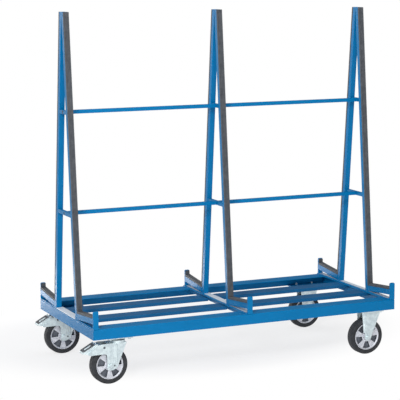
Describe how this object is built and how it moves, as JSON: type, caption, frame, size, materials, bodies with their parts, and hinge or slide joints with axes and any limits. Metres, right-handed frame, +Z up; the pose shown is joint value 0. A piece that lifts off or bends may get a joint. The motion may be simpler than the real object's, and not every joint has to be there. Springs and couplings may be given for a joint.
{
  "type": "sheet goods cart",
  "caption": "Steel cart for sheet goods: slatted deck, leaning A-frame rack with rubber-faced legs and arms, stops, swivel casters with foot brakes and fixed casters.",
  "frame": {"origin": "on the floor, under the middle of the overall length (pedals included) and width", "axes": "+X along the deck from the swivel casters to the fixed casters, +Y from front to rear, +Z up"},
  "size_m": [1.85, 0.85, 1.925],
  "materials": {
    "blue_paint": "satin powder coat",
    "black_rubber": "matt grooved strip",
    "zinc_plate": "bright zinc plate",
    "bolt_steel": "bright zinc plate",
    "cast_aluminium": "cast and turned",
    "tyre_rubber": "matt solid rubber"
  },
  "bodies": {
    "cart_frame": {"front_rail": "blue_paint", "rear_rail": "blue_paint", "left_end_beam": "blue_paint", "right_end_beam": "blue_paint", "mid_cross_member": "blue_paint", "slat_front_left": "blue_paint", "slat_front_right": "blue_paint", "slat_rear_left": "blue_paint", "slat_rear_right": "blue_paint", "foot_bar_left": "blue_paint", "foot_bar_mid": "blue_paint", "foot_bar_right": "blue_paint", "leg_left_front": "blue_paint", "leg_left_rear": "blue_paint", "leg_mid_front": "blue_paint", "leg_mid_rear": "blue_paint", "leg_right_front": "blue_paint", "leg_right_rear": "blue_paint", "arm_left_front": "blue_paint", "arm_left_rear": "blue_paint", "arm_mid_front": "blue_paint", "arm_mid_rear": "blue_paint", "arm_right_front": "blue_paint", "arm_right_rear": "blue_paint", "upper_bar": "blue_paint", "lower_bar": "blue_paint", "leg_pad_left_front": "black_rubber", "leg_pad_left_rear": "black_rubber", "leg_pad_mid_front": "black_rubber", "leg_pad_mid_rear": "black_rubber", "leg_pad_right_front": "black_rubber", "leg_pad_right_rear": "black_rubber", "arm_pad_left_front": "black_rubber", "arm_pad_left_rear": "black_rubber", "arm_pad_mid_front": "black_rubber", "arm_pad_mid_rear": "black_rubber", "arm_pad_right_front": "black_rubber", "arm_pad_right_rear": "black_rubber", "caster_plate_front": "zinc_plate", "kingpin_front": "bolt_steel", "fixed_bracket_front": "zinc_plate", "axle_right_front": "bolt_steel", "caster_plate_rear": "zinc_plate", "kingpin_rear": "bolt_steel", "fixed_bracket_rear": "zinc_plate", "axle_right_rear": "bolt_steel"},
    "swivel_front": {"swivel_fork_front": "zinc_plate", "axle_left_front": "bolt_steel"},
    "pedal_front": {"brake_pedal_front": "zinc_plate"},
    "wheel_left_front": {"rim_left_front": "cast_aluminium", "tyre_left_front": "tyre_rubber"},
    "wheel_right_front": {"rim_right_front": "cast_aluminium", "tyre_right_front": "tyre_rubber"},
    "swivel_rear": {"swivel_fork_rear": "zinc_plate", "axle_left_rear": "bolt_steel"},
    "pedal_rear": {"brake_pedal_rear": "zinc_plate"},
    "wheel_left_rear": {"rim_left_rear": "cast_aluminium", "tyre_left_rear": "tyre_rubber"},
    "wheel_right_rear": {"rim_right_rear": "cast_aluminium", "tyre_right_rear": "tyre_rubber"}
  },
  "joints": [
    {"name": "swivel_front_turn", "type": "hinge", "parent": "cart_frame", "child": "swivel_front", "pos_m": [-0.72, -0.366, 0.2318], "axis": [0, 0, 1], "continuous": true},
    {"name": "pedal_front_press", "type": "hinge", "parent": "swivel_front", "child": "pedal_front", "pos_m": [-0.807, -0.366, 0.2], "axis": [0, -1, 0], "range_deg": [0, 18]},
    {"name": "wheel_left_front_roll", "type": "hinge", "parent": "swivel_front", "child": "wheel_left_front", "pos_m": [-0.772, -0.366, 0.1], "axis": [0, 1, 0], "continuous": true},
    {"name": "wheel_right_front_roll", "type": "hinge", "parent": "cart_frame", "child": "wheel_right_front", "pos_m": [0.77, -0.366, 0.1], "axis": [0, 1, 0], "continuous": true},
    {"name": "swivel_rear_turn", "type": "hinge", "parent": "cart_frame", "child": "swivel_rear", "pos_m": [-0.72, 0.366, 0.2318], "axis": [0, 0, 1], "continuous": true},
    {"name": "pedal_rear_press", "type": "hinge", "parent": "swivel_rear", "child": "pedal_rear", "pos_m": [-0.807, 0.366, 0.2], "axis": [0, -1, 0], "range_deg": [0, 18]},
    {"name": "wheel_left_rear_roll", "type": "hinge", "parent": "swivel_rear", "child": "wheel_left_rear", "pos_m": [-0.772, 0.366, 0.1], "axis": [0, 1, 0], "continuous": true},
    {"name": "wheel_right_rear_roll", "type": "hinge", "parent": "cart_frame", "child": "wheel_right_rear", "pos_m": [0.77, 0.366, 0.1], "axis": [0, 1, 0], "continuous": true}
  ]
}
